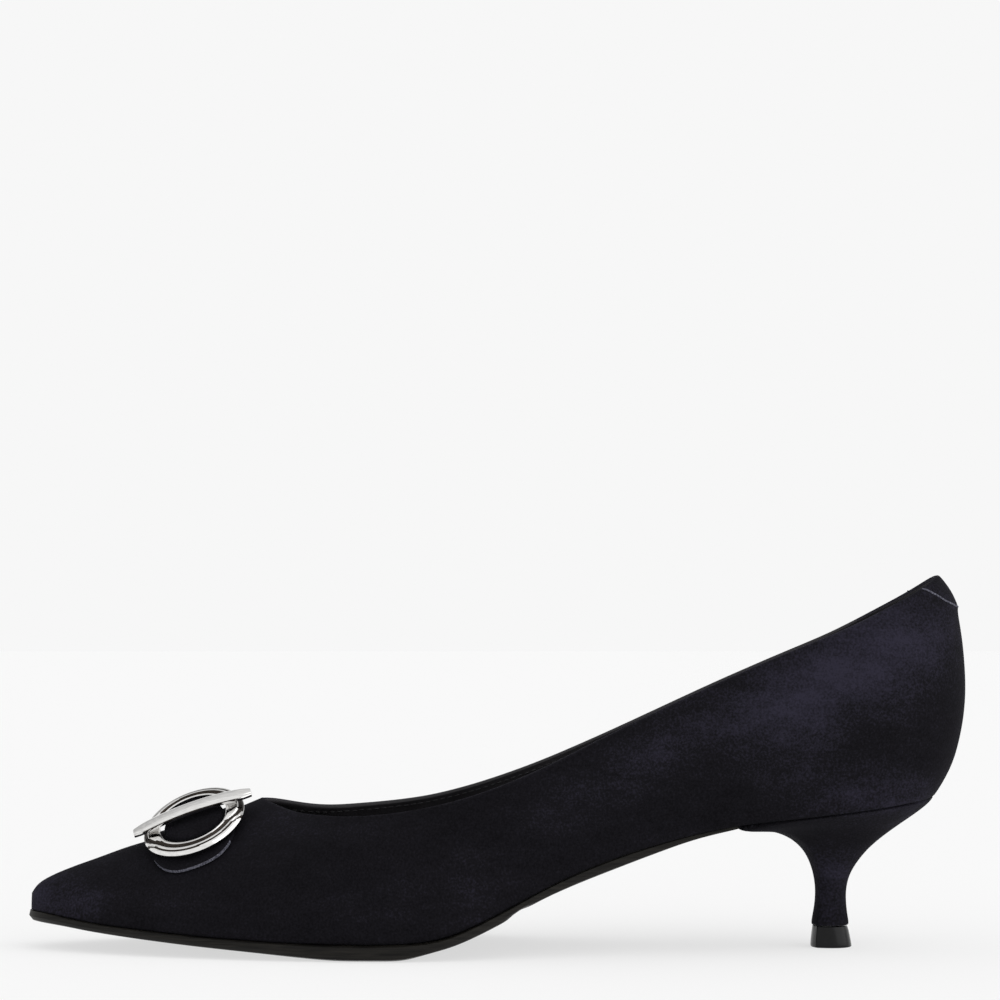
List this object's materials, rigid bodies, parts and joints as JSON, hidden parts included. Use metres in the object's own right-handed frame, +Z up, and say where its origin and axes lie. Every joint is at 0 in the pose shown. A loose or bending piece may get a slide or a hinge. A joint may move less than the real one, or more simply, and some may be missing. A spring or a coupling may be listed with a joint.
{
  "type": "kitten heel pump",
  "caption": "Left kitten heel pump in dark navy suede with a pointed toe, a low curved covered heel and a polished ring-and-bar ornament on the vamp.",
  "frame": {"origin": "the middle of the top lift's lower face, on the floor", "axes": "+X along the shoe from the toe to the back of the heel, +Y from the outer side to the inner side, +Z up"},
  "size_m": [0.2613, 0.074, 0.1033],
  "materials": {
    "suede": "matte brushed suede, dark navy",
    "sock_leather": "smooth dark sock leather",
    "sole_leather": "satin dark sole leather",
    "lift_rubber": "smooth black",
    "polished_metal": "mirror-polished, silver colour"
  },
  "bodies": {
    "root": {"upper": "suede", "insole": "sock_leather", "outsole": "sole_leather", "heel": "suede", "top_lift": "lift_rubber", "ornament_pad": "suede", "ornament_ring": "polished_metal", "ornament_bar": "polished_metal"}
  },
  "joints": []
}
